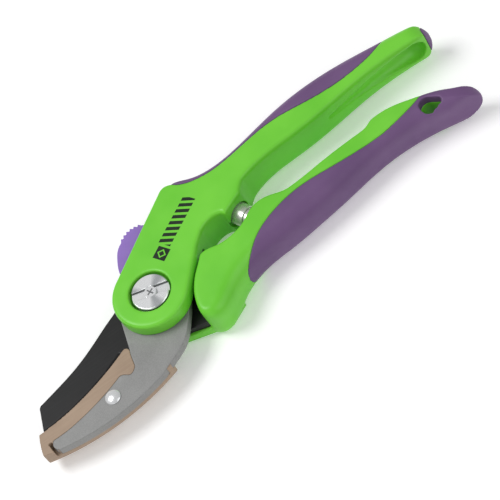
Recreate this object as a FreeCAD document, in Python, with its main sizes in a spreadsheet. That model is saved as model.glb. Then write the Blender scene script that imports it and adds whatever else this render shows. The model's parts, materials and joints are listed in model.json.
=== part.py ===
import FreeCAD, Part
import math
import os

from FreeCAD import Placement, Rotation, Vector

# Anvil pruning shears, closed. Millimetres. The origin is on the pivot's axis in the plane that
# the shears lie on, +X runs to the ends of the grips, +Y to the upper handle, +Z along the pivot.

doc = FreeCAD.newDocument("pruning_shears")

SIZES = {
    # heights of the layers that are stacked on the pivot
    "bolt_head_top": 2.4,
    "bolt_washer_top": 2.8,
    "hub_low": 1.2,
    "hub_counterbore_top": 2.9,
    "blade_low": 4.9,
    "blade_high": 7.9,
    "jaw_low": 8.4,
    "jaw_high": 12.0,
    "head_top": 18.2,
    "nut_seat": 14.4,
    "nut_low": 15.3,
    "nut_high": 17.7,
    "nut_slot_depth": 1.1,
    "stud_high": 17.5,
    # radii about the pivot
    "head_r": 15.0,
    "nut_recess_r": 8.3,
    "nut_r": 7.4,
    "nut_slot_width": 4.0,
    "shoulder_r": 4.0,
    "stud_r": 2.3,
    "bushing_r": 6.0,
    "running_gap": 0.05,
    "bolt_head_r": 7.2,
    "bolt_head_chamfer": 0.6,
    "nut_chamfer": 0.35,
    "spring_washer_r": 4.6,
    "spring_washer_gap": 0.8,
    "counterbore_r": 7.6,
    "hub_r": 16.0,
    "blade_hub_r": 15.0,
    "jaw_hub_r": 13.0,
    "friction_washer_r": 9.0,
    "washer_bore_r": 6.05,
    "washer_low": 7.95,
    # handles
    "upper_low": 2.4,
    "lower_low": 0.0,
    "lower_high": 16.9,
    "edge_round": 1.5,
    "rib_low": 5.4,
    "rib_high": 12.6,
    # jaw and anvil
    "anvil_low": 4.0,
    "anvil_round": 3.2,
    "rivet_x": -32.1,
    "rivet_y": -25.2,
    "rivet_r": 1.6,
    "rivet_head_r": 3.0,
    "rivet_head_rise": 1.3,
    # ground bevel of the blade
    "bevel_width": 3.2,
    "bevel_depth": 1.3,
    # volute spring
    "spring_r": 4.75,
    "spring_strip": 0.55,
    "spring_pitch": 0.85,
    "spring_length": 13.5,
    "spring_height": 9.0,
    "spring_pocket_r": 5.15,
    # thumb lock
    "lock_x": 13.0,
    "lock_y": 20.0,
    "lock_low": 5.1,
    "lock_lever_low": 5.5,
    "lock_lever_high": 8.0,
    "lock_high": 11.7,
    "lock_screw_r": 1.5,
    "lock_screw_head_r": 3.0,
    "lock_screw_head_low": 4.2,
    # tang fasteners
    "tang_rivet_r": 1.5,
}

HANG_HOLE = (121.2, -1.1)
HANG_HOLE_R = 3.1
HANG_HOLE_END = (125.1, -2.2)
HANG_HOLE_END_R = 1.5
SPRING_AXIS = Vector(0.43, -0.90, 0).normalize()
SPRING_SEAT = Vector(42.9, 11.7, 0)
LOWER_SEAT = Vector(46.6, 4.0, 0)
JAW_RIVETS = [(19.0, 14.0), (29.5, 21.7)]
TANG_RIVETS = [(27.0, -9.0), (44.0, -5.0)]

sheet = doc.addObject("Spreadsheet::Sheet", "sizes")
for row, (alias, value) in enumerate(SIZES.items(), 1):
    sheet.set(f"A{row}", alias)
    sheet.set(f"B{row}", str(value))
    sheet.setAlias(f"B{row}", alias)
doc.recompute()


def size(alias):
    return float(getattr(sheet, alias))


# ---------------------------------------------------------------- building blocks


def outline(start, *steps):
    """Edges of a closed plan outline. Each step starts where the one before ended:
    line through points, arc by a middle and an end point, or curve: one smooth edge."""
    edges = []
    here = Vector(*start, 0)
    for kind, *points in steps:
        stops = [Vector(*p, 0) for p in points]
        if kind == "line":
            for stop in stops:
                edges.append(Part.LineSegment(here, stop))
                here = stop
            continue
        if kind == "arc":
            edges.append(Part.Arc(here, *stops))
        else:
            spline = Part.BSplineCurve()
            spline.interpolate([here] + stops)
            edges.append(spline)
        here = stops[-1]
    first = Vector(*start, 0)
    if here.distanceToPoint(first) > 1e-6:
        edges.append(Part.LineSegment(here, first))
    return edges


def ring(radius, centre=(0, 0)):
    return [Part.Circle(Vector(*centre, 0), Vector(0, 0, 1), radius)]


def new_body(name):
    return doc.addObject("PartDesign::Body", name)


def plan_sketch(body, name, edges, level):
    """A sketch parallel to the XY plane, at the height named in the sheet."""
    plane = [o for o in body.Origin.OriginFeatures if o.Role == "XY_Plane"][0]
    sketch = body.newObject("Sketcher::SketchObject", name)
    sketch.AttachmentSupport = [(plane, "")]
    sketch.MapMode = "FlatFace"
    sketch.setExpression("AttachmentOffset.Base.z", f"sizes.{level}")
    for edge in edges:
        sketch.addGeometry(edge)
    return sketch


def pad(body, name, edges, low, high):
    sketch = plan_sketch(body, f"{name}_plan", edges, low)
    feature = body.newObject("PartDesign::Pad", name)
    feature.Profile = sketch
    feature.setExpression("Length", f"sizes.{high} - sizes.{low}")
    doc.recompute()
    return feature


def pocket(body, name, edges, low, high):
    """Cuts down from high to low, and must remove something."""
    before = body.Shape.Volume
    sketch = plan_sketch(body, f"{name}_plan", edges, high)
    feature = body.newObject("PartDesign::Pocket", name)
    feature.Profile = sketch
    feature.setExpression("Length", f"sizes.{high} - sizes.{low}")
    doc.recompute()
    if body.Shape.Volume >= before:
        raise RuntimeError(f"pocket {name} cuts nothing")
    return feature


def level_edges(shape, level, keep=lambda p: True):
    """Names of the edges that lie at one height and whose middle passes the test."""
    names = []
    for number, edge in enumerate(shape.Edges, 1):
        box = edge.BoundBox
        if abs(box.ZMin - level) > 1e-4 or abs(box.ZMax - level) > 1e-4:
            continue
        middle = edge.valueAt((edge.FirstParameter + edge.LastParameter) / 2)
        if keep(middle):
            names.append(f"Edge{number}")
    return names


def round_level(body, name, level, radius, keep=lambda p: True):
    """Rounds the edges of a body that lie at a level."""
    base = body.Tip
    feature = body.newObject("PartDesign::Fillet", name)
    feature.Base = (base, level_edges(base.Shape, size(level), keep))
    feature.setExpression("Radius", f"sizes.{radius}")
    doc.recompute()
    return feature


def combine(kind, name, *parts):
    """Part::Cut, Part::Common or Part::Fuse of two objects."""
    result = doc.addObject(f"Part::{kind}", name)
    result.Base, result.Tool = parts
    result.Refine = True
    doc.recompute()
    return result


def cylinder(name, radius, low, high):
    """A cylinder on the pivot's axis, its radius and heights given by their names in the sheet."""
    solid = doc.addObject("Part::Cylinder", name)
    solid.setExpression("Radius", f"sizes.{radius}")
    solid.setExpression("Height", f"sizes.{high} - sizes.{low}")
    solid.setExpression("Placement.Base.z", f"sizes.{low}")
    doc.recompute()
    return solid


def feature_of(name, shape):
    """A piece whose shape is made directly with Part's functions."""
    piece = doc.addObject("Part::Feature", name)
    piece.Shape = shape
    return piece


def prism(edges, low, high):
    """A plain solid of an outline, for cutting."""
    wire = Part.Wire([e.toShape() for e in edges])
    face = Part.Face(wire)
    face.translate(Vector(0, 0, low))
    return face.extrude(Vector(0, 0, high - low))


def disc(radius, low, high, centre=(0, 0)):
    """An upright cylinder, for adding or cutting."""
    return Part.makeCylinder(radius, high - low, Vector(*centre, low))


# ---------------------------------------------------------------- rounded forms

# How the rounding of an edge is stepped: angles round a quarter circle, from the flat face.
ROUND_ANGLES = (0, 12, 26, 42, 62, 90)


def rounded_form(stations, low, high):
    """A solid with a smooth plan outline whose top and bottom edges are rounded. Each station
    is x, y and the radii of its top and bottom rounding; they run counter-clockwise."""
    biggest = max(max(station[2:]) for station in stations)
    steps = [biggest * (1 - math.cos(math.radians(a))) for a in ROUND_ANGLES]
    levels = [low + d for d in steps] + [high - d for d in reversed(steps)]
    wires = []
    for z in levels:
        points = []
        for n, (x, y, top_round, low_round) in enumerate(stations):
            before = stations[n - 1]
            after = stations[(n + 1) % len(stations)]
            run = Vector(after[0] - before[0], after[1] - before[1], 0).normalize()
            inward = Vector(-run.y, run.x, 0)
            inset = max(quarter_inset(top_round, high - z), quarter_inset(low_round, z - low))
            points.append(Vector(x, y, z) + inward * inset)
        spline = Part.BSplineCurve()
        spline.interpolate(points, PeriodicFlag=True)
        wires.append(Part.Wire(spline.toShape()))
    return Part.makeLoft(wires, True, False)


def quarter_inset(radius, depth):
    """How far a rounded edge is set back at a depth below the flat face."""
    if depth >= radius:
        return 0.0
    return radius - math.sqrt(max(radius ** 2 - (radius - depth) ** 2, 0.0))


def nose_half(tip_x, run, level, edge):
    """Half of a nose: from the level of its point to the flat face at edge, over or under it."""
    low, high = sorted((level, edge))
    height = high - low
    centre = Vector(tip_x - run, -60, level)
    ellipse = Part.Ellipse(centre + Vector(run, 0, 0), centre + Vector(0, 0, height), centre)
    end = Part.Face(Part.Wire(ellipse.toShape())).extrude(Vector(0, 120, 0))
    bar = Part.makeBox(tip_x - run + 100, 120, height, Vector(-100, -60, low))
    ahead = Part.makeBox(run + 1, 120, height, Vector(tip_x - run, -60, low))
    return bar.fuse(end.common(ahead))


def nose(low, high, level, tip_x, top_run, low_run):
    """Everything behind the rounded end of a handle, seen from the side. The point is at tip_x
    and level; the runs are the lengths of its upper and lower curves."""
    return nose_half(tip_x, top_run, level, high).fuse(nose_half(tip_x, low_run, level, low))


# ---------------------------------------------------------------- upper handle

HEAD_TANGENT = (-8.9, 12.1)
UPPER_FORM = [
    (24, 14, 1.5, 1.5), (34, 14.5, 1.5, 1.5), (44, 15.5, 1.5, 1.5), (52, 18.5, 1.6, 2.4),
    (60, 20.5, 1.8, 3.6), (72, 21.4, 1.8, 3.6), (86, 22.3, 1.8, 3.6), (100, 24.2, 1.8, 3.6),
    (112, 25.4, 1.8, 3.6), (124, 25.6, 1.8, 3.4), (131.5, 25.4, 1.8, 3.0), (136.0, 26.0, 1.8, 2.2),
    (138.4, 28.2, 2.0, 2.0), (136.4, 31.2, 2.6, 2.6), (131, 33.9, 4.2, 4.2), (122, 35.9, 5.4, 5.4),
    (110, 38.0, 6.0, 6.0), (92, 39.4, 6.0, 6.0), (75, 38.1, 6.0, 6.0), (60, 34.8, 5.6, 5.6),
    (45, 32.3, 4.6, 4.6), (35, 33.4, 3.2, 3.2), (28, 35.4, 2.0, 2.0), (22.5, 33.0, 1.5, 1.5),
    (21, 22, 1.5, 1.5),
]


def upper_form():
    """The whole upper handle behind the head, before it is divided into hard and soft."""
    low = size("upper_low")
    high = size("head_top")
    form = rounded_form(UPPER_FORM, low, high)
    return form.common(nose(low, high, 10.3, 138.6, 8.0, 9.0))


def seat_block():
    """The boss that carries the spring, and the neck between it and the head."""
    body = new_body("seat_block")
    edges = outline(
        (24.6, 6.2),
        ("line", (28, 9.5)),
        ("curve", (31, 11.0), (34.5, 11.6), (37.4, 10.9)),
        ("line", (38.4, 9.5), (47.4, 13.8)),
        ("curve", (49.0, 16.2), (52.5, 19.2)),
        ("line", (50, 24), (28, 26), (22.4, 30.0), (20.2, 22.0)),
    )
    pad(body, "seat_block_pad", edges, "upper_low", "head_top")
    for name, level in (("seat_block_top", "head_top"), ("seat_block_low", "upper_low")):
        round_level(body, name, level, "edge_round", lambda p: p.y < 17 and p.x > 25)
    return body.Shape


def upper_green_plan():
    """Where the upper handle is hard and green, in plan. The rest is the soft grip."""
    edges = outline(
        (10, 0),
        ("line", (145, 0), (145, 20)),
        ("line", (137.0, 22.5)),
        ("curve", (136.2, 26), (136.4, 29.6), (139.0, 33.0)),
        ("line", (139, 42), (124, 42)),
        ("line", (124, 36.4)),
        ("curve", (120.5, 33.2), (112, 30.5), (98, 29.5), (86, 30.6), (74, 32.2), (60, 31.4), (45, 29.4),
         (36, 30.2), (29.4, 33.4), (27.0, 38.0)),
        ("line", (10, 38)),
    )
    return prism(edges, -1, 20)


def head_blank():
    """The flat head over the pivot, with its round end."""
    body = new_body("head_blank")
    r = size("head_r")
    edges = outline(
        HEAD_TANGENT,
        ("line", (22.0, 34.6)),
        ("curve", (24.8, 36.0), (28.4, 35.0)),
        ("line", (31.0, 31.6), (31.0, 12.4), (28, 9.5)),
        ("curve", (26.2, 8.2), (24.3, 5.9)),
        ("line", (11.6, -9.5)),
        ("arc", (-r * math.cos(math.radians(22)), -r * math.sin(math.radians(22))), HEAD_TANGENT),
    )
    pad(body, "head_pad", edges, "jaw_high", "head_top")
    round_level(body, "head_top_edge", "head_top", "edge_round", lambda p: p.x < 30.9)
    return body


def end_gutter():
    """The round-bottomed gutter on the inner side of the upper handle. It widens towards the
    tip and ends in a round hollow."""
    start = Vector(90, 22.6, 11.6)
    end = Vector(130, 26.0, 10.8)
    length = (end - start).Length
    return Part.makeCone(0.8, 5.0, length, start, end - start).fuse(Part.makeSphere(5.0, end))


def upper_handle(head, seat):
    """Hard green moulding: head plate, spring seat, tang slot, end gutter."""
    lock = (size("lock_x"), size("lock_y"))
    low = size("upper_low")
    top = size("head_top")
    form = upper_form().common(upper_green_plan())
    shape = form.fuse([seat, head])
    shape = shape.fuse(upper_rib().common(upper_form()))
    cuts = [
        disc(size("nut_recess_r"), size("nut_seat"), top + 1),
        disc(size("shoulder_r"), size("jaw_high") - 1, size("nut_seat") + 1),
        jaw_solid(),
        spring_pocket(SPRING_SEAT, SPRING_AXIS * -1),
        end_gutter(),
        disc(size("lock_screw_r"), size("lock_lever_low"), size("nut_seat"), lock),
        disc(size("tang_rivet_r"), low - 1, size("nut_seat"), JAW_RIVETS[1]),
    ]
    for tool in cuts:
        shape = shape.cut(tool)
    return feature_of("upper_handle", shape)


def spring_pocket(seat, into):
    """A round blind pocket that holds one end of the spring."""
    start = Vector(seat.x, seat.y, size("spring_height")) - into * 4
    return Part.makeCylinder(size("spring_pocket_r"), 4 + 2.6, start, into)


def upper_rib():
    """The hard rib inside the soft grip of the upper handle."""
    edges = outline(
        (34, 30.6),
        ("line", (34, 27)),
        ("line", (60, 28), (90, 27), (122, 30), (118, 33.8), (100, 36.4), (85, 36.2), (68, 33.6)),
        ("line", (55, 31.0), (45, 29.8)),
    )
    return prism(edges, size("rib_low"), size("rib_high"))


def upper_grip(head, seat):
    """Soft purple grip over the back and the tip of the upper handle."""
    shape = upper_form().cut(upper_green_plan())
    shape = shape.cut([upper_rib(), end_gutter(), seat, head])
    return feature_of("upper_grip", shape)


# ---------------------------------------------------------------- jaw and anvil

STRIKE_EDGE = [(-61.9, -20.2), (-55, -20.0), (-47, -19.0), (-38, -17.0), (-29, -14.2), (-20.5, -10.7)]
ANVIL_OUTER_ARC = [(-9.6, -28.2), (-35, -32.5), (-57.5, -30.7)]
TONGUE_INNER = [(-35, -22.3), (-45, -24.7), (-52, -25.7), (-58.5, -25.8)]


def jaw_outline():
    """The jaw in plan: a tongue inside the anvil, a hub round the pivot and a straight tang."""
    tang = Vector(math.cos(math.radians(36.3)), math.sin(math.radians(36.3)), 0)
    side = Vector(-tang.y, tang.x, 0) * 5.6
    ends = [tang * 42 - side, tang * 42 + side, side + tang * 11.5]
    r = size("jaw_hub_r")
    return outline(
        (-18.0, -12.2),
        ("line", (-18.6, -14.0), (-19.3, -18.5)),
        ("curve", (-20.5, -20.4), (-22.5, -21.1), (-24.0, -20.0), (-25.2, -19.3), (-27, -19.5)),
        ("curve", *TONGUE_INNER),
        ("curve", (-59.6, -28.0), (-58.2, -30.6)),
        ("arc", (-36, -32.9), (-12, -29.1)),
        ("curve", (-5, -25.7), (1.2, -21.9), (5.2, -16.8), (8.6, -11.6), (11.5, -6.0)),
        ("line", *[(p.x, p.y) for p in ends]),
        ("arc", (r * math.cos(math.radians(130)), r * math.sin(math.radians(130))),
         (r * math.cos(math.radians(172)), r * math.sin(math.radians(172)))),
        ("line", (-15.2, 0.0)),
    )


def jaw_solid():
    """The jaw's space, for cutting the parts that hold it."""
    return prism(jaw_outline(), size("jaw_low"), size("jaw_high"))


def anvil_jaw():
    """Steel side plate that carries the anvil and runs into the upper handle as a tang."""
    body = new_body("anvil_jaw")
    pad(body, "jaw_pad", jaw_outline(), "jaw_low", "jaw_high")
    pocket(body, "jaw_pivot_hole", ring(size("shoulder_r")), "jaw_low", "jaw_high")
    for number, centre in enumerate(JAW_RIVETS, 1):
        pocket(body, f"jaw_tang_hole_{number}", ring(size("tang_rivet_r"), centre), "jaw_low", "jaw_high")
    rivet = (size("rivet_x"), size("rivet_y"))
    pocket(body, "jaw_anvil_rivet_hole", ring(size("rivet_r"), rivet), "jaw_low", "jaw_high")
    return body


def anvil_underside():
    """A wide disc on the outer edge's own arc, with its lower rim rounded."""
    arc = Part.Arc(*[Vector(x, y, 0) for x, y in ANVIL_OUTER_ARC]).toShape().Curve
    plate = disc(arc.Radius, size("anvil_low"), size("jaw_high"), (arc.Center.x, arc.Center.y))
    rim = [e for e in plate.Edges if e.BoundBox.ZMax < size("anvil_low") + 0.01]
    return plate.makeFillet(size("anvil_round"), rim)


def anvil_insert():
    """Tan plastic anvil: it wraps the jaw's tongue, and the blade closes on its inner edge."""
    body = new_body("anvil_blank")
    edges = outline(
        STRIKE_EDGE[0],
        ("curve", *STRIKE_EDGE[1:]),
        ("curve", (-18.9, -10.6), (-18.0, -12.2)),
        ("line", (-18.6, -14.0), (-18.2, -18.5), (-9.5, -24.0)),
        ("curve", (-7.6, -26.2), ANVIL_OUTER_ARC[0]),
        ("arc", *ANVIL_OUTER_ARC[1:]),
        ("curve", (-61.0, -31.3), (-63.6, -31.8)),
        ("curve", (-64.4, -29.5), (-63.9, -26.0), (-62.9, -22.6), STRIKE_EDGE[0]),
    )
    pad(body, "anvil_pad", edges, "anvil_low", "jaw_high")
    shape = body.Shape.common(anvil_underside()).cut(jaw_solid())
    shape = shape.cut(disc(size("rivet_r"), 0, 20, (size("rivet_x"), size("rivet_y"))))
    slot = outline((-60.8, -25.9), ("line", (-59.4, -25.9), (-58.8, -30.4), (-60.4, -30.4)))
    shape = shape.cut(prism(slot, size("jaw_low"), 20))
    solids = sorted(shape.Solids, key=lambda s: s.Volume)
    return feature_of("anvil_insert", solids[-1])


def dome(radius, rise, z, centre, up=1):
    """A rivet's domed head, standing on the plane z."""
    ball = (radius ** 2 + rise ** 2) / (2 * rise)
    sphere = Part.makeSphere(ball, Vector(*centre, z + up * (rise - ball)))
    slab = Part.makeCylinder(radius + 1, rise, Vector(*centre, z if up > 0 else z - rise))
    return sphere.common(slab)


def anvil_rivet():
    """Domed rivet through the jaw and the anvil."""
    centre = (size("rivet_x"), size("rivet_y"))
    low = size("anvil_low")
    high = size("jaw_high")
    rim = disc(size("rivet_head_r"), high, high + 0.3, centre)
    head = dome(size("rivet_head_r"), size("rivet_head_rise") - 0.3, high + 0.3, centre)
    shank = disc(size("rivet_r"), low, high, centre)
    tail = disc(size("rivet_head_r") - 0.4, low - 0.5, low, centre)
    return feature_of("anvil_rivet", rim.fuse([head, shank, tail]))


def jaw_tang_rivets():
    """Two steel pins that hold the jaw's tang in the upper handle."""
    pins = []
    for centre, low in zip(JAW_RIVETS, (size("jaw_low") - 0.8, size("upper_low") + 0.4)):
        top = size("jaw_high") if low > 5 else size("nut_seat")
        pins.append(disc(size("tang_rivet_r"), low, top, centre))
    return feature_of("jaw_tang_rivets", Part.makeCompound(pins))


# ---------------------------------------------------------------- pivot


def pivot_bolt():
    """Shoulder bolt: flat round head below, thick shoulder, thin end for the nut."""
    head = disc(size("bolt_head_r"), 0, size("bolt_head_top"))
    rim = [e for e in head.Edges if e.BoundBox.ZMax < 0.01]
    head = head.makeChamfer(size("bolt_head_chamfer"), rim)
    shoulder = disc(size("shoulder_r"), size("bolt_head_top"), size("nut_seat"))
    stud = disc(size("stud_r"), size("nut_seat"), size("stud_high"))
    return feature_of("pivot_bolt", head.fuse([shoulder, stud]))


def pivot_nut():
    """Round nut in the head's recess, with a wide screwdriver slot across it."""
    body = new_body("pivot_nut")
    pad(body, "nut_pad", ring(size("nut_r")), "nut_low", "nut_high")
    rim = body.newObject("PartDesign::Chamfer", "nut_rim")
    rim.Base = (body.getObject("nut_pad"), level_edges(body.Shape, size("nut_high")))
    rim.setExpression("Size", "sizes.nut_chamfer")
    doc.recompute()
    pocket(body, "nut_hole", ring(size("stud_r")), "nut_low", "nut_high")
    angle = math.radians(-17)
    along = Vector(math.cos(angle), math.sin(angle), 0) * 9
    side = Vector(-math.sin(angle), math.cos(angle), 0) * size("nut_slot_width") / 2
    corners = [(p.x, p.y) for p in (along + side, side - along, along * -1 - side, along - side)]
    slot = prism(outline(corners[0], ("line", *corners[1:])), size("nut_high") - size("nut_slot_depth"), 30)
    return feature_of("slotted_pivot_nut", body.Shape.cut(slot))


def washer(name, outer, inner, low, high):
    """A flat ring or bush on the pivot's axis."""
    outside = cylinder(f"{name}_outside", outer, low, high)
    inside = cylinder(f"{name}_inside", inner, low, high)
    return combine("Cut", name, outside, inside)


def spring_washer():
    """Split ring under the nut."""
    low = size("nut_seat")
    high = size("nut_low")
    gap_width = size("spring_washer_gap")
    shape = disc(size("spring_washer_r"), low, high).cut(disc(size("stud_r") + 0.2, low, high))
    gap = Part.makeBox(6, gap_width, 3, Vector(0, -gap_width / 2, low - 1))
    return feature_of("spring_washer", shape.cut(gap))


# ---------------------------------------------------------------- blade

BLADE_EDGE = [(-61.3, -19.9), (-55, -19.8), (-47, -18.8), (-38, -16.8), (-29, -13.9), (-20.8, -10.3)]
BLADE_SPINE = [(-15, 8.7), (-20, 6.4), (-30, 1.4), (-40, -2.7), (-50, -5.5), (-55.6, -6.9)]


def blade_outline():
    """The blade in plan: point, hub round the pivot, thumb-lock side and tang."""
    r = size("blade_hub_r")
    start = (r * math.cos(math.radians(118)), r * math.sin(math.radians(118)))
    low = (r * math.cos(math.radians(-106)), r * math.sin(math.radians(-106)))
    return outline(
        start,
        ("curve", *BLADE_SPINE),
        ("curve", (-57.0, -7.4), (-57.7, -8.8)),
        ("line", BLADE_EDGE[0]),
        ("curve", *BLADE_EDGE[1:]),
        ("line", (-17.4, -9.4)),
        ("curve", (-12.5, -12.6), (-8, -13.9), low),
        ("line", (10, -18.9), (16.4, -20.7)),
        ("curve", (24, -17.5), (34, -11.6), (52, -8.2)),
        ("line", (53.5, -3.2)),
        ("curve", (40, -3.2), (28, -2.6), (19.5, -0.5)),
        ("curve", (16.2, 2.4), (r * math.cos(math.radians(24)), r * math.sin(math.radians(24)))),
        ("arc", (r * math.cos(math.radians(70)), r * math.sin(math.radians(70))), start),
    )


def blade_bevel():
    """The metal that is ground away above the cutting edge: a long wedge, a little proud of
    the blade in front and above so that it cuts cleanly."""
    width = size("bevel_width")
    depth = size("bevel_depth")
    top = size("blade_high")
    proud = 1.0
    sections = []
    stations = [(BLADE_EDGE[0][0] - 3, BLADE_EDGE[0][1])] + BLADE_EDGE
    for n, (x, y) in enumerate(stations):
        before = stations[max(n - 1, 0)]
        after = stations[min(n + 1, len(stations) - 1)]
        run = Vector(after[0] - before[0], after[1] - before[1], 0).normalize()
        outward = Vector(run.y, -run.x, 0)
        back = Vector(x, y, top) - outward * width
        low = Vector(x, y, top - depth) + outward * proud - Vector(0, 0, depth * proud / width)
        over = low + Vector(0, 0, depth * 3)
        above = back + Vector(0, 0, depth)
        sections.append(Part.makePolygon([back, low, over, above, back]))
    return Part.makeLoft(sections, True, True)


def cutting_blade():
    """Coated steel blade, with its tang and a ground bevel along the cutting edge."""
    body = new_body("cutting_blade")
    pad(body, "blade_pad", blade_outline(), "blade_low", "blade_high")
    bore = size("bushing_r") + size("running_gap")
    pocket(body, "blade_pivot_hole", ring(bore), "blade_low", "blade_high")
    for number, centre in enumerate(TANG_RIVETS, 1):
        pocket(body, f"tang_hole_{number}", ring(size("tang_rivet_r"), centre), "blade_low", "blade_high")
    return feature_of("bevelled_blade", body.Shape.cut(blade_bevel()))


# ---------------------------------------------------------------- lower handle

LOWER_FORM = [
    (22, 1.4, 1.2), (19.6, -1.3, 1.2), (16.9, -4.2, 1.3), (14.4, -7.7, 1.4), (12.5, -11.6, 1.5),
    (11.3, -16, 1.8), (11.2, -19.8, 2.6), (13.4, -22.7, 3.6), (17, -23.6, 4.6), (21.5, -22.0, 5.6),
    (26, -18.9, 6.2), (30, -16.2, 6.6), (35, -13.9, 6.8), (42, -12.1, 6.8), (52, -11.3, 6.8),
    (65, -9.8, 6.8), (80, -7.4, 6.6), (92, -5.1, 6.2), (105, -3.8, 5.4), (120, -5.1, 5.0),
    (129, -6.6, 4.2), (135.2, -7.3, 2.8), (139.6, -6.9, 2.2), (139.3, -4.4, 2.4), (134.8, -1.5, 3.2),
    (129, 2.0, 3.6), (122.5, 4.4, 2.6), (116, 6.2, 1.6), (110, 7.8, 1.4), (104, 8.3, 1.4), (101, 7.9, 1.4),
    (98.6, 6.7, 1.4), (95, 6.2, 1.4), (80, 5.5, 1.4), (65, 4.2, 1.4), (60.5, 4.5, 1.4), (57, 5.8, 1.4),
    (52, 7.0, 1.4), (47.6, 6.3, 1.4), (44, 4.3, 1.4), (40, 2.2, 1.4), (35, 1.1, 1.4), (30, 1.2, 1.4),
    (25, 2.3, 1.3),
]


def lower_form():
    """The whole lower handle, before it is divided into hard and soft."""
    low = size("lower_low")
    high = size("lower_high")
    stations = [(x, y, r, r) for x, y, r in LOWER_FORM]
    return rounded_form(stations, low, high).common(nose(low, high, 9.6, 139.8, 15.0, 20.0))


def lower_green_plan():
    """Where the lower handle is hard and green, in plan. The rest is the soft grip."""
    edges = outline(
        (5, 20),
        ("line", (5, -30), (27.5, -30)),
        ("curve", (30, -17.5), (33.5, -13.8), (38, -10.0), (45, -4.8), (55, -0.6), (67, 1.2), (80, 0.3),
         (95, -0.6), (105, -0.1), (114, 1.6), (121.0, 3.9), (124.5, 6.5)),
        ("line", (124.5, 20)),
    )
    return prism(edges, -2, 20)


def hang_hole(grow, low, high):
    """The teardrop hole that the shears hang by, larger all round by grow."""
    big = disc(HANG_HOLE_R + grow, low, high, HANG_HOLE)
    small = disc(HANG_HOLE_END_R + grow, low, high, HANG_HOLE_END)
    a = Vector(*HANG_HOLE, 0)
    b = Vector(*HANG_HOLE_END, 0)
    along = b - a
    lean = math.asin((HANG_HOLE_R - HANG_HOLE_END_R) / along.Length)
    heading = math.atan2(along.y, along.x)
    corners = []
    for centre, radius, turn in (
        (a, HANG_HOLE_R, 1), (b, HANG_HOLE_END_R, 1), (b, HANG_HOLE_END_R, -1), (a, HANG_HOLE_R, -1)
    ):
        angle = heading + turn * (math.pi / 2 - lean)
        corners.append(centre + Vector(math.cos(angle), math.sin(angle), 0) * (radius + grow))
    flat = [(p.x, p.y) for p in corners]
    neck = prism(outline(flat[0], ("line", *flat[1:])), low, high)
    return big.fuse([small, neck]).removeSplitter()


def lower_rib():
    """The hard rib inside the soft grip of the lower handle."""
    edges = outline(
        (33, -11),
        ("line", (60, -7.0), (100, -1.4), (110, -1.4), (117, -3.0), (127, -3.4)),
        ("line", (126, 0.5), (117, 3.5), (60, 2.5), (50, 1), (40, -5)),
    )
    return prism(edges, size("rib_low"), size("rib_high"))


def hang_hole_lining():
    """The hard wall round the hang hole inside the soft grip."""
    return hang_hole(0.6, size("rib_low") - 2.0, size("rib_high"))


def lower_hub():
    """Flat hub under the blade, which turns round the pivot's bushing."""
    r = size("hub_r")
    edges = outline(
        (r * math.cos(math.radians(60)), r * math.sin(math.radians(60))),
        ("arc", (-r, 0), (r * math.cos(math.radians(-107.3)), r * math.sin(math.radians(-107.3)))),
        ("line", (18, -22.4), (26, -18), (26, -2), (22, 1.0)),
        ("curve", (18.6, 3.6), (r * math.cos(math.radians(25)), r * math.sin(math.radians(25)))),
        ("arc", (r * math.cos(math.radians(42)), r * math.sin(math.radians(42))),
         (r * math.cos(math.radians(60)), r * math.sin(math.radians(60)))),
    )
    return prism(edges, size("hub_low"), size("blade_low"))


def lower_gutter():
    """A shallow V-shaped gutter on the inner side of the lower handle, deepest at its end."""
    start = Vector(99, 6.6, 8.4)
    end = Vector(117, 3.0, 8.4)
    mouth = Vector(2.4, 11.8, 0)
    rise = Vector(0, 0, 18)
    face = Part.Face(Part.makePolygon([start, start + mouth + rise, start + mouth - rise, start]))
    return face.extrude(end - start)


def lower_handle():
    """Hard green moulding: cover over the tang, flat hub, spring seat, rib, end gutter."""
    form = lower_form()
    shape = form.common(lower_green_plan())
    bore = size("bushing_r") + size("running_gap")
    for part in (lower_rib(), hang_hole_lining().common(form), lower_hub()):
        shape = shape.fuse(part)
    floor = size("hub_low")
    cuts = [
        prism(blade_outline(), size("blade_low"), size("blade_high")),
        disc(bore, 0, size("blade_low") + 1),
        disc(size("counterbore_r"), 0, size("hub_counterbore_top")),
        spring_pocket(LOWER_SEAT, SPRING_AXIS),
        hang_hole(0, -1, 20),
        lower_gutter(),
    ]
    for centre in TANG_RIVETS:
        cuts.append(disc(size("tang_rivet_r"), floor, size("blade_high") + 3.2, centre))
    for tool in cuts:
        shape = shape.cut(tool)
    return feature_of("lower_handle", shape)


def lower_grip():
    """Soft purple grip on the lower handle, with the hang hole through its end."""
    shape = lower_form().cut(lower_green_plan())
    tang = prism(blade_outline(), size("blade_low"), size("blade_high"))
    for tool in (lower_rib(), hang_hole_lining(), hang_hole(0, -1, 20), tang, *tang_pins()):
        shape = shape.cut(tool)
    return feature_of("lower_grip", shape)


def tang_pins():
    """The shapes of the two pins through the blade's tang."""
    low = size("hub_low") + 0.4
    return [disc(size("tang_rivet_r"), low, size("blade_high") + 3, centre) for centre in TANG_RIVETS]


def blade_tang_rivets():
    """Two steel pins that hold the blade's tang in the lower handle."""
    return feature_of("blade_tang_rivets", Part.makeCompound(tang_pins()))


# ---------------------------------------------------------------- spring


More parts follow.
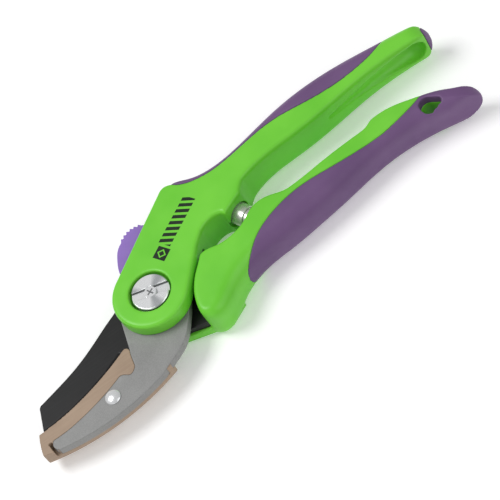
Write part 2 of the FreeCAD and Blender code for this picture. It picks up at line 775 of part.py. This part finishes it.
def volute_spring():
    """A flat strip rolled into a spiral: half turns whose radius falls by half the pitch."""
    step = size("spring_pitch") / 2
    thick = size("spring_strip")
    outer, inner = [], []
    radius = size("spring_r")
    centre = 0.0
    side = 1
    while radius - thick > 1.4:
        for wire, r in ((outer, radius), (inner, radius - thick)):
            a = Vector(centre + r * side, 0, 0)
            b = Vector(centre, r * side, 0)
            c = Vector(centre - r * side, 0, 0)
            wire.append(Part.Arc(a, b, c).toShape())
        centre -= step * side
        radius -= step
        side = -side
    first = Part.LineSegment(inner[0].Vertexes[0].Point, outer[0].Vertexes[0].Point).toShape()
    last = Part.LineSegment(outer[-1].Vertexes[-1].Point, inner[-1].Vertexes[-1].Point).toShape()
    wire = Part.Wire(Part.__sortEdges__(outer + inner + [first, last]))
    strip = Part.Face(wire).extrude(Vector(0, 0, size("spring_length")))
    piece = feature_of("volute_spring", strip)
    middle = (SPRING_SEAT + LOWER_SEAT) * 0.5
    start = middle - SPRING_AXIS * (size("spring_length") / 2)
    turn = Rotation(Vector(0, 0, 1), SPRING_AXIS)
    piece.Placement = Placement(Vector(start.x, start.y, size("spring_height")), turn)
    return piece


# ---------------------------------------------------------------- thumb lock


def lock_lever():
    """Steel lever: a tooth that faces the blade's hub, and an arm inside the thumb pad."""
    centre = Vector(size("lock_x"), size("lock_y"), 0)
    body = new_body("lock_lever")
    toward = centre * (-1 / centre.Length)
    side = Vector(-toward.y, toward.x, 0)
    tooth = centre.Length - size("blade_hub_r") - 0.45
    tip = centre + toward * tooth
    edges = outline(
        (tip.x + side.x * 1.6, tip.y + side.y * 1.6),
        ("line", (centre.x + side.x * 3.4, centre.y + side.y * 3.4)),
        ("curve", (15.6, 24.2), (11.6, 28.0), (7.0, 28.4), (1.0, 25.2), (-0.6, 22.4)),
        ("curve", (3.2, 21.4), (centre.x - side.x * 3.6, centre.y - side.y * 3.6)),
        ("line", (tip.x - side.x * 1.6, tip.y - side.y * 1.6)),
    )
    pad(body, "lock_lever_pad", edges, "lock_lever_low", "lock_lever_high")
    hole = ring(size("lock_screw_r") + size("running_gap"), (size("lock_x"), size("lock_y")))
    pocket(body, "lock_lever_hole", hole, "lock_lever_low", "lock_lever_high")
    return body


def lock_pad(lever):
    """Purple thumb pad moulded over the lever's arm, with grip teeth on its outer edge."""
    teeth = 6
    start = Vector(0.6, 30.2, 0)
    end = Vector(10.6, 31.6, 0)
    rise = 1.0
    serration = []
    for n in range(teeth):
        a = start + (end - start) * (n / teeth)
        b = start + (end - start) * ((n + 1) / teeth)
        middle = (a + b) * 0.5 + Vector(-0.12, 1, 0) * (rise + 1.5 * math.sin(math.pi * (n + 0.5) / teeth))
        foot = b + Vector(0, 1.5 * math.sin(math.pi * (n + 1) / teeth), 0)
        serration += [(middle.x, middle.y), (foot.x, foot.y)]
    edges = outline(
        (-6.0, 19.0),
        ("curve", (-5.4, 21.4), (-4.0, 24.8), (-2.0, 28.2), (0.6, 30.2)),
        ("line", *serration),
        ("curve", (12.6, 30.0), (13.2, 27.6)),
        ("curve", (8.0, 23.0), (2.0, 19.6), (-6.0, 19.0)),
    )
    body = new_body("lock_pad_blank")
    pad(body, "lock_pad_pad", edges, "lock_low", "lock_high")
    return feature_of("lock_thumb_pad", body.Shape.cut(lever.Shape))


def lock_screw():
    """Shoulder screw that the lock turns on: its head is under the lever."""
    centre = (size("lock_x"), size("lock_y"))
    head = disc(size("lock_screw_head_r"), size("lock_screw_head_low"), size("lock_lever_low") - 0.1, centre)
    shank = disc(size("lock_screw_r"), size("lock_lever_low") - 0.1, size("nut_seat"), centre)
    return feature_of("lock_pivot_screw", head.fuse(shank))


# ---------------------------------------------------------------- assembly and export

head = head_blank().Shape
seat = seat_block()
lever = lock_lever()
pieces = {
    "upper_handle": upper_handle(head, seat),
    "upper_grip": upper_grip(head, seat),
    "anvil_jaw": anvil_jaw(),
    "anvil_insert": anvil_insert(),
    "anvil_rivet": anvil_rivet(),
    "jaw_tang_rivets": jaw_tang_rivets(),
    "pivot_bolt": pivot_bolt(),
    "pivot_nut": pivot_nut(),
    "spring_washer": spring_washer(),
    "friction_washer": washer(
        "friction_washer", "friction_washer_r", "washer_bore_r", "washer_low", "jaw_low"
    ),
    "bolt_washer": washer("bolt_washer", "bolt_head_r", "shoulder_r", "bolt_head_top", "bolt_washer_top"),
    "pivot_bushing": washer("pivot_bushing", "bushing_r", "shoulder_r", "bolt_washer_top", "jaw_low"),
    "cutting_blade": cutting_blade(),
    "lower_handle": lower_handle(),
    "lower_grip": lower_grip(),
    "blade_tang_rivets": blade_tang_rivets(),
    "volute_spring": volute_spring(),
    "lock_lever": lever,
    "lock_thumb_pad": lock_pad(lever),
    "lock_pivot_screw": lock_screw(),
}
doc.recompute()

for thing in doc.Objects:
    if "Invalid" in thing.State or "Error" in thing.State:
        raise RuntimeError(f"{thing.Name} failed: {thing.State}")
os.makedirs("parts", exist_ok=True)
for node, piece in pieces.items():
    piece.Label = node
    shape = piece.Shape
    if shape.isNull() or not shape.isValid():
        raise RuntimeError(f"{node} has no valid shape")
    shape.exportStep(f"parts/{node}.step")
    print(f"{node}: {len(shape.Solids)} solids, {shape.Volume:.0f} mm3")
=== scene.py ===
"""Anvil pruning shears on a pale floor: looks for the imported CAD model, in metres, in its frame."""
import json
import math

import bmesh
import bpy
from mathutils import Matrix, Vector
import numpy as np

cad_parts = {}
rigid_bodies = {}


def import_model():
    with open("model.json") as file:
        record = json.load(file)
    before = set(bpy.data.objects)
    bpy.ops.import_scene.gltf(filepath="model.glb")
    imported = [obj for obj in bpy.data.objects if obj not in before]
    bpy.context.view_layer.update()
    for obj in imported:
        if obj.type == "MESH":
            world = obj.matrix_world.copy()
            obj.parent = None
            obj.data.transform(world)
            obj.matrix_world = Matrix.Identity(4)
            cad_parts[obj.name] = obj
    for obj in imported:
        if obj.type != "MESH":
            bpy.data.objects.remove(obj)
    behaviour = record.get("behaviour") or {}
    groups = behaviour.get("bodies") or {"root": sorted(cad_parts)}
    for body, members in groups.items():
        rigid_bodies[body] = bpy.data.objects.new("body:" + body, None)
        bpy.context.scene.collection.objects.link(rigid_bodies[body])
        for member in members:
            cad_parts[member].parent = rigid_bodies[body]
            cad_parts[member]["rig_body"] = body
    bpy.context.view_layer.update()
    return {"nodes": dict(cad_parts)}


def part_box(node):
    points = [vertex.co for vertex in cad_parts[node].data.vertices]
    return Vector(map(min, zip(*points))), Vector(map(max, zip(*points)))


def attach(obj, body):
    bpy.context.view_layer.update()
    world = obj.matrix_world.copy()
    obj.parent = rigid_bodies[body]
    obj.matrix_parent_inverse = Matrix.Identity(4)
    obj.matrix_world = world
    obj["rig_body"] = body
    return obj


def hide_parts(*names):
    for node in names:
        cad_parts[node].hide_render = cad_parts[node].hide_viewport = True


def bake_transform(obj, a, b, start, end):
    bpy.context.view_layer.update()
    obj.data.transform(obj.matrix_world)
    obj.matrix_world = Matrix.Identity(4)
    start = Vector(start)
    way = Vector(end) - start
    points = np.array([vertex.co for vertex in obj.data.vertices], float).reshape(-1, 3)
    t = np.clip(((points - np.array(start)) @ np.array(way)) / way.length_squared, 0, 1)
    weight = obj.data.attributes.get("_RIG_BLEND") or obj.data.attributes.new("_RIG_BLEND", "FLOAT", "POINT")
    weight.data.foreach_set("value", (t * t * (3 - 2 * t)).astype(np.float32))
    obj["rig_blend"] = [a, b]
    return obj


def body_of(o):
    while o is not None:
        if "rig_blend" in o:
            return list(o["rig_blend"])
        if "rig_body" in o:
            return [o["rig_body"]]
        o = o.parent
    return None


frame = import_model()


# ------------------------------------------------------------ colours and node helpers

def linear(red, green, blue):
    """A colour given as 8-bit screen values, as the shader wants it."""
    parts = []
    for value in (red, green, blue):
        v = value / 255
        parts.append(v / 12.92 if v <= 0.04045 else ((v + 0.055) / 1.055) ** 2.4)
    return (*parts, 1.0)


NOISE_ROUGHNESS = 0.55


class Graph:
    """One material's shader nodes, with short ways to add and link them."""

    def __init__(self, name):
        self.material = bpy.data.materials.new(name)
        self.material.use_nodes = True
        self.tree = self.material.node_tree
        self.shader = self.tree.nodes["Principled BSDF"]
        self.place = self.add("ShaderNodeTexCoord").outputs["Object"]

    def add(self, kind, **settings):
        node = self.tree.nodes.new(kind)
        for key, value in settings.items():
            setattr(node, key, value)
        return node

    def link(self, source, target):
        self.tree.links.new(source, target)

    def set(self, socket, value):
        """Puts a number, a colour or another node's output on one of the shader's sockets."""
        target = self.shader.inputs[socket]
        if hasattr(value, "links"):
            self.link(value, target)
        else:
            target.default_value = value

    def math(self, operation, a, b=0.0, clamp=False):
        node = self.add("ShaderNodeMath", operation=operation, use_clamp=clamp)
        for number, value in enumerate((a, b)):
            if hasattr(value, "links"):
                self.link(value, node.inputs[number])
            else:
                node.inputs[number].default_value = value
        return node.outputs[0]

    def stretched(self, scale, turn=0.0):
        """Object coordinates scaled per axis, after a turn about Z in degrees."""
        mapping = self.add("ShaderNodeMapping")
        mapping.inputs["Rotation"].default_value = (0, 0, math.radians(turn))
        mapping.inputs["Scale"].default_value = scale
        self.link(self.place, mapping.inputs["Vector"])
        return mapping.outputs["Vector"]

    def axes(self):
        """The three object coordinates, each as its own output, in metres."""
        parts = self.add("ShaderNodeSeparateXYZ")
        self.link(self.place, parts.inputs[0])
        return parts.outputs

    def noise(self, scale, detail=4.0, vector=None):
        node = self.add("ShaderNodeTexNoise")
        self.link(vector or self.place, node.inputs["Vector"])
        node.inputs["Scale"].default_value = scale
        node.inputs["Detail"].default_value = detail
        node.inputs["Roughness"].default_value = NOISE_ROUGHNESS
        return node.outputs["Fac"]

    def range(self, value, low, high, out_low=0.0, out_high=1.0):
        node = self.add("ShaderNodeMapRange")
        self.link(value, node.inputs["Value"])
        limits = {"From Min": low, "From Max": high, "To Min": out_low, "To Max": out_high}
        for socket, number in limits.items():
            node.inputs[socket].default_value = number
        return node.outputs["Result"]

    def mix(self, share, a, b):
        """From a to b, where share is another node's output."""
        node = self.add("ShaderNodeMix", data_type="RGBA")
        self.link(share, node.inputs[0])
        for number, value in ((6, a), (7, b)):
            if hasattr(value, "links"):
                self.link(value, node.inputs[number])
            else:
                node.inputs[number].default_value = value
        return node.outputs[2]

    def bump(self, *layers):
        """Layers are (height, strength, distance in metres)."""
        normal = None
        for height, strength, distance in layers:
            node = self.add("ShaderNodeBump")
            node.inputs["Strength"].default_value = strength
            node.inputs["Distance"].default_value = distance
            self.link(height, node.inputs["Height"])
            if normal is not None:
                self.link(normal, node.inputs["Normal"])
            normal = node.outputs["Normal"]
        self.set("Normal", normal)

    def inside(self, centre, half, turn):
        """1 inside a rectangle on the XY plane, 0 outside, all in metres, turned by degrees.
        Also gives the node with the rectangle's own X and Y."""
        mapping = self.add("ShaderNodeMapping", vector_type="TEXTURE")
        mapping.inputs["Location"].default_value = (*centre, 0)
        mapping.inputs["Rotation"].default_value = (0, 0, math.radians(turn))
        self.link(self.place, mapping.inputs["Vector"])
        parts = self.add("ShaderNodeSeparateXYZ")
        self.link(mapping.outputs["Vector"], parts.inputs[0])
        sides = []
        for output, reach in zip(parts.outputs[:2], half):
            away = self.math("ABSOLUTE", output)
            sides.append(self.math("LESS_THAN", away, reach))
        return self.math("MULTIPLY", *sides), parts


# ------------------------------------------------------------ materials

CLOUD_SCALE = 38
DULL_PATCH_SCALE = 260
COARSE_GRAIN_SHARE = 0.16


def moulded(name, colour, deep, roughness, grain, spread=0.05):
    """Moulded plastic: slow shade changes, a few dull patches, a fine and a coarse grain.
    Gives the graph, so that a finish can add to it."""
    g = Graph(name)
    shade = g.range(g.noise(CLOUD_SCALE, 3), 0.35, 0.65)
    g.set("Base Color", g.mix(shade, colour, deep))
    patches = g.noise(DULL_PATCH_SCALE, 4)
    g.set("Roughness", g.range(patches, 0.3, 0.7, roughness - spread, roughness + spread))
    coarse = g.noise(grain * COARSE_GRAIN_SHARE, 2)
    g.bump((g.noise(grain, 5), 0.22, 0.00004), (coarse, 0.12, 0.0001))
    return g


MARK_SQUARE = Vector((0.0112, 0.0107))
MARK_BAND = Vector((0.0225, 0.0190))
MARK_TURN = 33.0
MARK_HALF_HEIGHT = 0.0026
DIAMOND_OUTER = 0.0019
DIAMOND_INNER = 0.0012
BAND_HALF_LENGTH = 0.0104
BAR_SLANT = 0.35
BAR_PITCH = 0.0026
BAR_GAP_SHARE = 0.42
PRINT_LOWEST = 0.0178


def printed_mark(g):
    """A dark square with a diamond's outline left open in it, and slanted bars beside it."""
    square, place = g.inside(MARK_SQUARE, (MARK_HALF_HEIGHT, MARK_HALF_HEIGHT), MARK_TURN)
    x, y = place.outputs[:2]
    reach = g.math("ADD", g.math("ABSOLUTE", x), g.math("ABSOLUTE", y))
    outer = g.math("LESS_THAN", reach, DIAMOND_OUTER)
    diamond = g.math("MULTIPLY", outer, g.math("GREATER_THAN", reach, DIAMOND_INNER))
    square = g.math("SUBTRACT", square, diamond, clamp=True)
    band, place = g.inside(MARK_BAND, (BAND_HALF_LENGTH, MARK_HALF_HEIGHT), MARK_TURN)
    x, y = place.outputs[:2]
    slanted = g.math("ADD", x, g.math("MULTIPLY", y, BAR_SLANT))
    along = g.math("FRACT", g.math("MULTIPLY", slanted, 1 / BAR_PITCH))
    bars = g.math("MULTIPLY", band, g.math("GREATER_THAN", along, BAR_GAP_SHARE))
    on_top = g.math("GREATER_THAN", g.axes()[2], PRINT_LOWEST)
    return g.math("MULTIPLY", g.math("MAXIMUM", square, bars), on_top)


def green_plastic():
    """The hard green moulding, with the mark printed on the head."""
    g = moulded("green_plastic", linear(120, 214, 62), linear(108, 204, 54), 0.36, 2600)
    g.set("Specular IOR Level", 0.35)
    printed = printed_mark(g)
    plain = g.shader.inputs["Base Color"].links[0].from_socket
    g.set("Base Color", g.mix(printed, plain, linear(22, 40, 22)))
    return g.material


def purple_grip():
    """Soft rubbery plastic with a faint bloom."""
    g = moulded("purple_grip", linear(112, 80, 126), linear(101, 70, 116), 0.55, 4200, spread=0.07)
    g.set("Sheen Weight", 0.12)
    g.set("Sheen Roughness", 0.4)
    g.set("Sheen Tint", linear(205, 190, 220))
    return g.material


def purple_plastic():
    """The lock's harder, lighter plastic."""
    return moulded("purple_plastic", linear(158, 124, 208), linear(146, 112, 196), 0.38, 3200).material


def tan_plastic():
    """Glass-filled nylon: cloudy, with flow streaks along the anvil and fine fibre specks."""
    g = Graph("tan_plastic")
    cloud = g.range(g.noise(70, 4), 0.3, 0.7)
    streak = g.range(g.noise(1, 5, g.stretched((60, 900, 900), 20)), 0.35, 0.75)
    base = g.mix(cloud, linear(164, 140, 118), linear(150, 126, 104))
    g.set("Base Color", g.mix(g.math("MULTIPLY", streak, 0.35), base, linear(184, 162, 140)))
    g.set("Roughness", g.range(streak, 0, 1, 0.42, 0.6))
    g.bump((g.noise(3000, 4), 0.3, 0.00005), (streak, 0.1, 0.00008))
    return g.material


def blasted_steel(name, colour, deep, roughness, metallic, grain):
    """Steel with a fine even coat: small pits, faint handling marks."""
    g = Graph(name)
    cloud = g.range(g.noise(90, 4), 0.3, 0.7)
    specks = g.range(g.noise(grain, 3), 0.4, 0.62)
    base = g.mix(cloud, colour, deep)
    g.set("Base Color", g.mix(g.math("MULTIPLY", specks, 0.12), base, linear(190, 191, 190)))
    g.set("Metallic", metallic)
    g.set("Roughness", g.range(specks, 0, 1, roughness + 0.08, roughness - 0.05))
    g.bump((g.noise(grain, 4), 0.35, 0.00004))
    return g.material


def coated_blade():
    """Black non-stick coat with long faint rubbing streaks."""
    g = Graph("black_coating")
    streak = g.range(g.noise(1, 6, g.stretched((25, 1400, 500), 14)), 0.5, 0.8)
    cloud = g.range(g.noise(110, 4), 0.3, 0.7)
    base = g.mix(cloud, linear(24, 24, 25), linear(18, 18, 19))
    g.set("Base Color", g.mix(g.math("MULTIPLY", streak, 0.3), base, linear(52, 52, 53)))
    g.set("Specular IOR Level", 0.3)
    g.set("Roughness", g.range(streak, 0, 1, 0.42, 0.56))
    g.bump((g.noise(3600, 4), 0.25, 0.00003))
    return g.material


# Heights that tell the nut's face, the walls of its slot and the slot's floor apart.
NUT_FACE = 0.01725
SLOT_FLOOR = 0.0166
SLOT_TURN = -17.0
SLOT_REACH = 0.0075
SLOT_UNSHADED_HALF = 0.00172
WALL_START = SLOT_FLOOR + 0.00008
NUT_INSIDE = SLOT_FLOOR - 0.0002
FAN_COUNT = 3.0
CROSS_REACH = 0.0015
CROSS_HALF_WIDTH = 0.00028
CROSS_TURN = 28


def painted_reflection_fans(g):
    """Painted reflection: bright and dark fans round the pivot's axis, as light reflects off a turned face,
    painted on the nut's face.
    """
    x, y, z = g.axes()[:3]
    angle = g.math("ARCTAN2", y, x)
    wave = g.range(g.math("SINE", g.math("MULTIPLY", angle, FAN_COUNT)), 0.1, 0.95)
    return g.math("MULTIPLY", wave, g.math("GREATER_THAN", z, NUT_FACE))


def painted_slot_shade(g):
    """1 on the walls of the nut's slot and along their feet, where painted shade goes, 0 elsewhere."""
    height = g.axes()[2]
    wall = g.math("GREATER_THAN", height, WALL_START)
    unshaded_middle = g.inside((0, 0), (SLOT_REACH, SLOT_UNSHADED_HALF), SLOT_TURN)[0]
    foot = g.math("SUBTRACT", 1.0, unshaded_middle)
    inside_nut = g.math("GREATER_THAN", height, NUT_INSIDE)
    below_face = g.math("LESS_THAN", height, NUT_FACE)
    shaded = g.math("MULTIPLY", g.math("MAXIMUM", wall, foot), inside_nut)
    return g.math("MULTIPLY", shaded, below_face)


def stamped_cross(g):
    """1 on the two short lines stamped in the end of the bolt."""
    lines = []
    for half in ((CROSS_REACH, CROSS_HALF_WIDTH), (CROSS_HALF_WIDTH, CROSS_REACH)):
        lines.append(g.inside((0, 0), half, CROSS_TURN)[0])
    return g.math("MAXIMUM", *lines)


def bare_steel(name, colour, deep, roughness, turn_marks=0.0, metallic=1.0, stamped=False):
    """Bright metal: brushed along X, or turned in rings about the pivot's axis with painted reflection fans
    and painted shade in its slot. The bolt's end has a cross drawn on it."""
    g = Graph(name)
    if turn_marks:
        rings = g.add("ShaderNodeTexWave", wave_type="RINGS", rings_direction="Z")
        g.link(g.place, rings.inputs["Vector"])
        rings.inputs["Scale"].default_value = turn_marks
        rings.inputs["Distortion"].default_value = 1.5
        rings.inputs["Detail"].default_value = 3.0
        marks = rings.outputs["Fac"]
    else:
        marks = g.noise(1, 5, g.stretched((60, 2200, 2200)))
    smudge = g.range(g.noise(160, 4), 0.35, 0.7)
    shade = g.mix(smudge, colour, deep)
    if turn_marks:
        # Painted reflection: fans of lighter and darker colour on the nut's face.
        shade = g.mix(g.math("MULTIPLY", painted_reflection_fans(g), 0.6), shade, linear(120, 126, 130))
        # Painted shade: darker colour on the walls of the nut's slot and along their feet.
        shade = g.mix(g.math("MULTIPLY", painted_slot_shade(g), 0.85), shade, linear(48, 52, 56))
    if stamped:
        shade = g.mix(g.math("MULTIPLY", stamped_cross(g), 0.8), shade, linear(60, 64, 66))
    g.set("Base Color", shade)
    g.set("Metallic", metallic)
    brushed = g.range(marks, 0, 1, roughness - 0.05, roughness + 0.06)
    g.set("Roughness", g.math("ADD", brushed, g.math("MULTIPLY", smudge, 0.06)))
    g.bump((marks, 0.08, 0.00001), (g.noise(900, 3), 0.05, 0.00002))
    return g.material


MATERIALS = {
    "green_plastic": green_plastic(),
    "purple_grip": purple_grip(),
    "purple_plastic": purple_plastic(),
    "grey_jaw": blasted_steel("grey_jaw", linear(142, 142, 141), linear(130, 130, 129), 0.5, 0.1, 2600),
    "tan_plastic": tan_plastic(),
    "bright_steel": bare_steel("bright_steel", linear(196, 196, 194), linear(168, 168, 168), 0.28),
    # chrome, spring_steel and bolt_end are only partly metallic with near-white colours, so part of their
    # brightness is painted reflection.
    "chrome": bare_steel("chrome", linear(250, 251, 252), linear(232, 234, 236), 0.2, 900, 0.55),
    "spring_steel": bare_steel("spring_steel", linear(236, 235, 232), linear(206, 204, 202), 0.24, 0, 0.7),
    "bronze_bushing": bare_steel("bronze_bushing", linear(176, 140, 92), linear(148, 112, 70), 0.34),
    "bolt_end": bare_steel("bolt_end", linear(236, 237, 238), linear(210, 212, 214), 0.25, 0, 0.5, True),
    "black_coating": coated_blade(),
    "white_nylon": moulded("white_nylon", linear(226, 224, 216), linear(212, 210, 202), 0.45, 2400).material,
}


# ------------------------------------------------------------ pieces

def body_name(node):
    """The body that a CAD node moves with."""
    return body_of(frame["nodes"][node])[0]


def baked_copy(node, name):
    """The CAD node's mesh as a new object at the origin, with the node's place worked into it."""
    source = frame["nodes"][node]
    mesh = source.data.copy()
    mesh.transform(source.matrix_world)
    mesh.materials.clear()
    piece = bpy.data.objects.new(name, mesh)
    bpy.context.scene.collection.objects.link(piece)
    return piece


def frozen(piece):
    """Turns the piece's modifiers into mesh."""
    shaped = piece.evaluated_get(bpy.context.evaluated_depsgraph_get())
    mesh = bpy.data.meshes.new_from_object(shaped)
    piece.modifiers.clear()
    piece.data = mesh


def shade_smooth(piece):
    piece.data.polygons.foreach_set("use_smooth", [True] * len(piece.data.polygons))
    piece.data.update()


def stand_in(piece, node, slot):
    """The piece takes the CAD node's place, body and finish."""
    piece.data.materials.clear()
    piece.data.materials.append(MATERIALS[slot])
    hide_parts(node)
    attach(piece, body_name(node))


def softened(node, slot, pitch, turns):
    """Stand-in for a CAD node with its sharp edges eased, as moulded or pressed parts have."""
    piece = baked_copy(node, f"{node}_visual")
    remesh = piece.modifiers.new("remesh", "REMESH")
    remesh.mode = "VOXEL"
    remesh.voxel_size = pitch
    smooth = piece.modifiers.new("smooth", "SMOOTH")
    smooth.factor = 0.5
    smooth.iterations = turns
    frozen(piece)
    shade_smooth(piece)
    stand_in(piece, node, slot)


# Each node's finish, the pitch of its new mesh in metres, and how often that mesh is smoothed.
SOFT_PIECES = {
    "upper_handle": ("green_plastic", 0.00034, 9),
    "lower_handle": ("green_plastic", 0.00034, 6),
    "upper_grip": ("purple_grip", 0.00032, 4),
    "lower_grip": ("purple_grip", 0.00032, 4),
    "anvil_jaw": ("grey_jaw", 0.00022, 3),
    "anvil_insert": ("tan_plastic", 0.00024, 3),
    "lock_thumb_pad": ("purple_plastic", 0.00014, 1),
    "pivot_nut": ("chrome", 0.00008, 1),
    "anvil_rivet": ("chrome", 0.0001, 3),
    "cutting_blade": ("black_coating", 0.0002, 2),
}
for node, (slot, pitch, turns) in SOFT_PIECES.items():
    softened(node, slot, pitch, turns)

# These keep their CAD mesh and get a finish only.
PLAIN_PIECES = {
    "jaw_tang_rivets": "bright_steel",
    "blade_tang_rivets": "bright_steel",
    "pivot_bolt": "bolt_end",
    "spring_washer": "spring_steel",
    "bolt_washer": "bright_steel",
    "friction_washer": "white_nylon",
    "pivot_bushing": "bronze_bushing",
    "lock_lever": "bright_steel",
    "lock_pivot_screw": "bright_steel",
}
for node, slot in PLAIN_PIECES.items():
    mesh = frame["nodes"][node].data
    mesh.materials.clear()
    mesh.materials.append(MATERIALS[slot])


SPRING_AXIS = Vector((0.43, -0.90, 0)).normalized()
SPRING_LENGTH = 0.0130
SPRING_TURNS = 4.0
SPRING_WIDE = 0.0045
SPRING_NARROW = 0.0023
STRIP_WIDTH = 0.0058
STRIP_THICKNESS = 0.0005
STRIP_EASE = 0.00014
STRIP_FLAT = 0.95
STEPS_A_TURN = 56
STRETCH_REACH = 0.0045


def volute_spring():
    """A strip wound into a cone of overlapping turns, wide in the upper handle's seat."""
    low, high = (Vector(corner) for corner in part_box("volute_spring"))
    centre = (low + high) / 2
    across = Vector((-SPRING_AXIS.y, SPRING_AXIS.x, 0))
    up = Vector((0, 0, 1))
    steps = int(SPRING_TURNS * STEPS_A_TURN)
    half_width = SPRING_AXIS * (STRIP_WIDTH / 2)
    verts = []
    for n in range(steps + 1):
        t = n / steps
        angle = 2 * math.pi * SPRING_TURNS * t
        outward = across * math.cos(angle) + up * math.sin(angle)
        middle = centre + SPRING_AXIS * ((t - 0.5) * (SPRING_LENGTH - STRIP_WIDTH))
        outer = SPRING_WIDE + (SPRING_NARROW - SPRING_WIDE) * t
        inner = outer - STRIP_THICKNESS
        section = (
            (-1, inner + STRIP_EASE),
            (-1, outer - STRIP_EASE),
            (-STRIP_FLAT, outer),
            (STRIP_FLAT, outer),
            (1, outer - STRIP_EASE),
            (1, inner + STRIP_EASE),
            (STRIP_FLAT, inner),
            (-STRIP_FLAT, inner),
        )
        verts.extend(middle + half_width * along + outward * reach for along, reach in section)
    ring = len(section)
    faces = []
    for n in range(steps):
        for k in range(ring):
            a = n * ring + k
            b = n * ring + (k + 1) % ring
            faces.append((a, b, b + ring, a + ring))
    faces.append(tuple(range(ring)))
    faces.append(tuple(steps * ring + k for k in reversed(range(ring))))
    mesh = bpy.data.meshes.new("spring_strip")
    mesh.from_pydata(verts, [], faces)
    shaping = bmesh.new()
    shaping.from_mesh(mesh)
    bmesh.ops.recalc_face_normals(shaping, faces=shaping.faces)
    shaping.to_mesh(mesh)
    shaping.free()
    piece = bpy.data.objects.new("spring_strip", mesh)
    bpy.context.scene.collection.objects.link(piece)
    shade_smooth(piece)
    mesh.set_sharp_from_angle(angle=math.radians(40))
    mesh.materials.append(MATERIALS["spring_steel"])
    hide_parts("volute_spring")
    reach = SPRING_AXIS * STRETCH_REACH
    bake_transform(piece, "anvil_side", "blade_side", centre - reach, centre + reach)


volute_spring()


# ------------------------------------------------------------ floor, light and camera

FLOOR_REACH = 3.0
FLOOR_DROP = 0.0002
FLOOR_GLOW = 0.2


def floor():
    """A wide sheet of white paper just under the shears, which gives off a little light."""
    low, high = -FLOOR_REACH, FLOOR_REACH
    corners = [(low, low), (high, low), (high, high), (low, high)]
    mesh = bpy.data.meshes.new("floor")
    mesh.from_pydata([(x, y, -FLOOR_DROP) for x, y in corners], [], [(0, 1, 2, 3)])
    piece = bpy.data.objects.new("floor", mesh)
    bpy.context.scene.collection.objects.link(piece)
    g = Graph("floor_paper")
    cloud = g.range(g.noise(6, 3), 0.3, 0.7)
    g.set("Base Color", g.mix(cloud, (0.97, 0.97, 0.97, 1), (0.95, 0.95, 0.95, 1)))
    g.set("Roughness", 0.8)
    g.set("Emission Color", (1, 1, 1, 1))
    g.set("Emission Strength", FLOOR_GLOW)
    mesh.materials.append(g.material)


def area_light(name, place, target, width, power):
    """A round soft light that faces a target."""
    light = bpy.data.lights.new(name, "AREA")
    light.shape = "DISK"
    light.size = width
    light.energy = power
    lamp = bpy.data.objects.new(name, light)
    lamp.location = place
    lamp.rotation_euler = (Vector(target) - Vector(place)).to_track_quat("-Z", "Y").to_euler()
    bpy.context.scene.collection.objects.link(lamp)


def world(strength):
    """Even white light from all round."""
    scene_world = bpy.data.worlds.new("studio")
    scene_world.use_nodes = True
    background = scene_world.node_tree.nodes["Background"]
    background.inputs["Color"].default_value = (1, 1, 1, 1)
    background.inputs["Strength"].default_value = strength
    bpy.context.scene.world = scene_world


def tone():
    """Plain screen colours, so that the materials show as they are set."""
    bpy.context.scene.view_settings.view_transform = "Standard"
    bpy.context.scene.view_settings.look = "None"


# The camera leans by TILT from straight above the point AIM, and turns by ROLL about its view.
TILT = math.radians(35.8)
ROLL = math.radians(34.8)
AIM = Vector((0.0384, -0.0107, 0.0182))
CAMERA_DISTANCE = 1.0
LENS_LENGTH = 200.0
BACK = Vector((0, -math.sin(TILT), math.cos(TILT)))


def camera():
    """A long lens in front of the shears and above them, rolled so that they lie on a diagonal."""
    up = Vector((0, math.cos(TILT), math.sin(TILT)))
    across = Vector((1, 0, 0))
    image_right = across * math.cos(ROLL) - up * math.sin(ROLL)
    image_up = across * math.sin(ROLL) + up * math.cos(ROLL)
    data = bpy.data.cameras.new("camera")
    data.sensor_width = 36.0
    data.lens = LENS_LENGTH
    data.clip_start = 0.05
    data.clip_end = 20.0
    view = bpy.data.objects.new("camera", data)
    turn = Matrix((image_right, image_up, BACK)).transposed().to_4x4()
    view.matrix_world = Matrix.Translation(AIM + BACK * CAMERA_DISTANCE) @ turn
    bpy.context.scene.collection.objects.link(view)
    bpy.context.scene.camera = view


floor()
tone()
world(0.34)
area_light("key", (-0.35, 0.25, 0.75), (0.03, 0, 0), 0.5, 4.4)
area_light("fill", (0.5, -0.5, 0.6), (0.03, 0, 0), 0.7, 1.8)
area_light("left_fill", (-0.5, -0.6, 0.45), (0.0, 0, 0), 0.6, 0.6)
camera()
